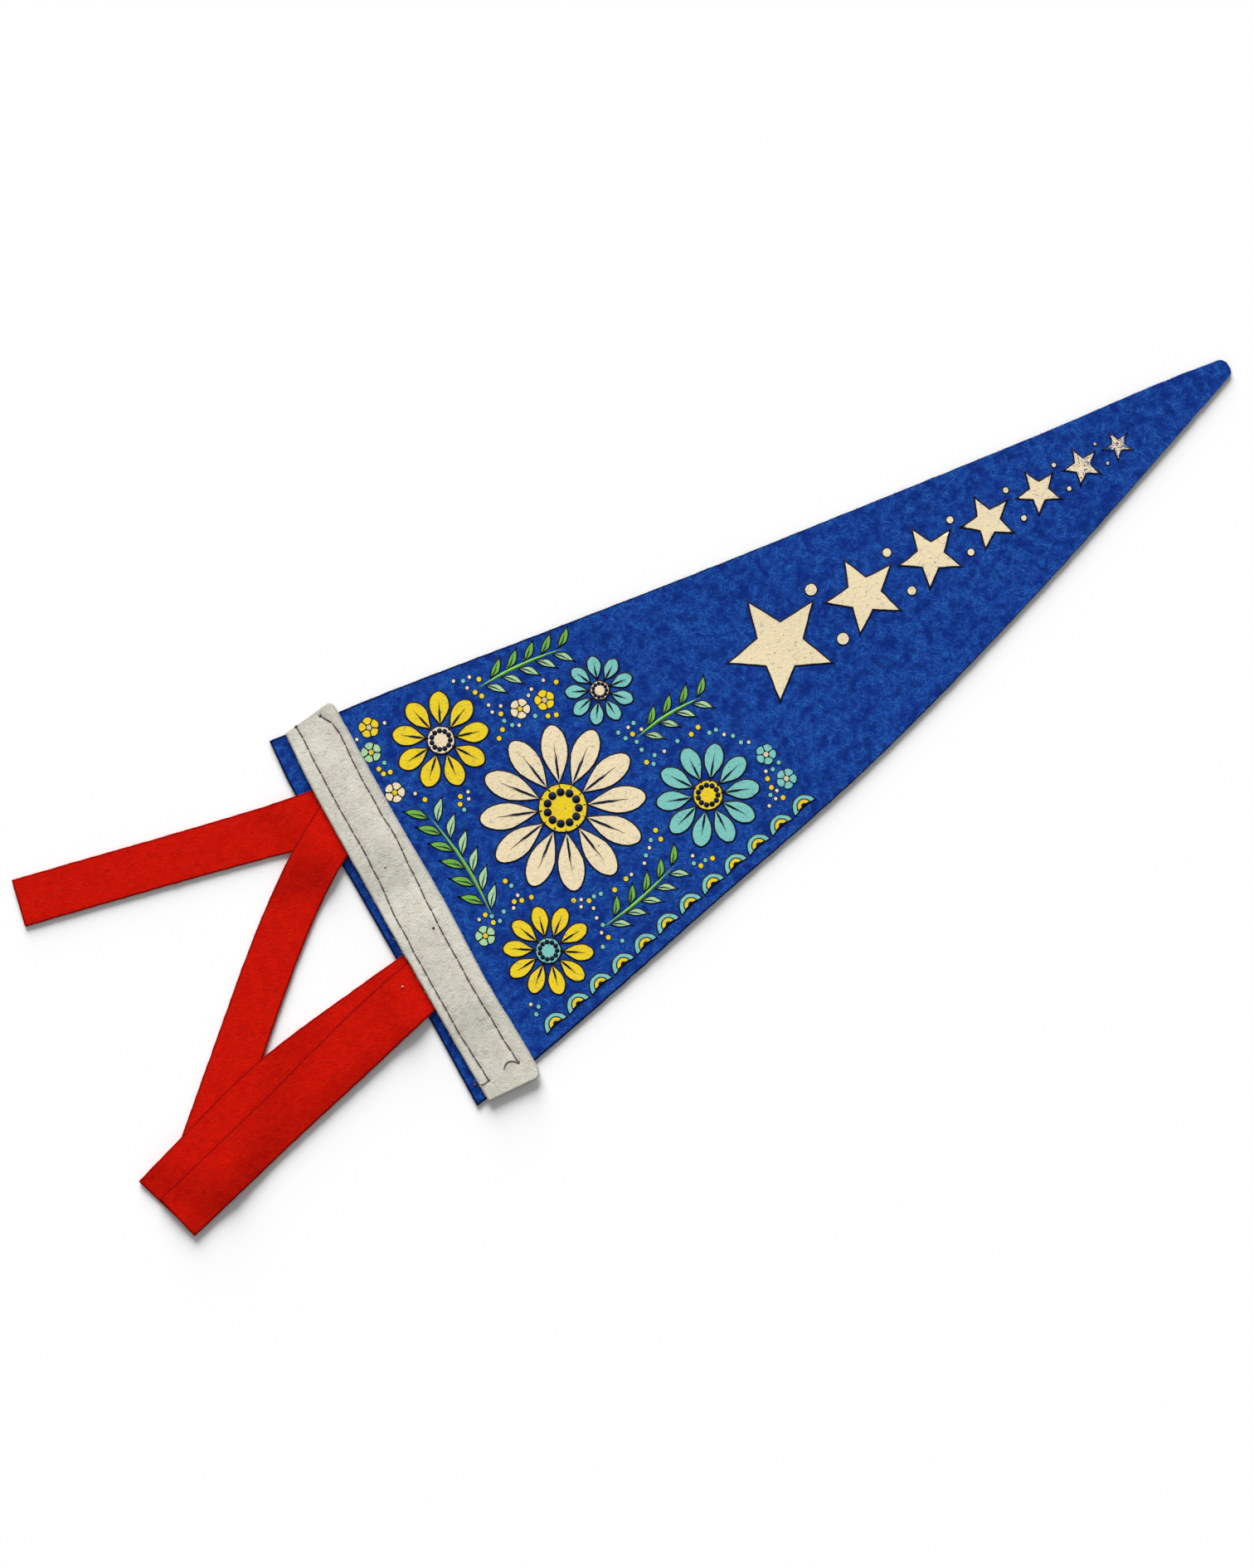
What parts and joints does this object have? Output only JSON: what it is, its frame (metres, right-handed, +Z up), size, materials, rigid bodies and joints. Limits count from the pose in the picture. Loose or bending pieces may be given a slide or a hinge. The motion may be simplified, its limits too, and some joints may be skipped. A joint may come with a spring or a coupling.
{
  "type": "felt pennant flag with ties",
  "caption": "Long triangular felt pennant with a sewn heading strip at its hoist and two folded felt ties with free ends, lying flat.",
  "frame": {"origin": "under the middle of the whole outline, on the surface that the flag lies on", "axes": "+X from the hoist to the tip, +Z up out of the printed face, +Y along the hoist towards the upper tie"},
  "size_m": [0.4072, 0.1358, 0.0049],
  "materials": {
    "blue_felt": "matte wool felt, royal blue with lighter wisps",
    "grey_felt": "matte wool felt, grey beige",
    "red_felt": "matte wool felt, bright red",
    "sewing_thread": "dark taupe cotton thread",
    "print_ink": "thin matte printing ink on felt, slightly worn"
  },
  "bodies": {
    "root": {"felt_field": "blue_felt", "heading": "grey_felt", "tie_upper": "red_felt", "tie_lower": "red_felt"}
  },
  "joints": []
}
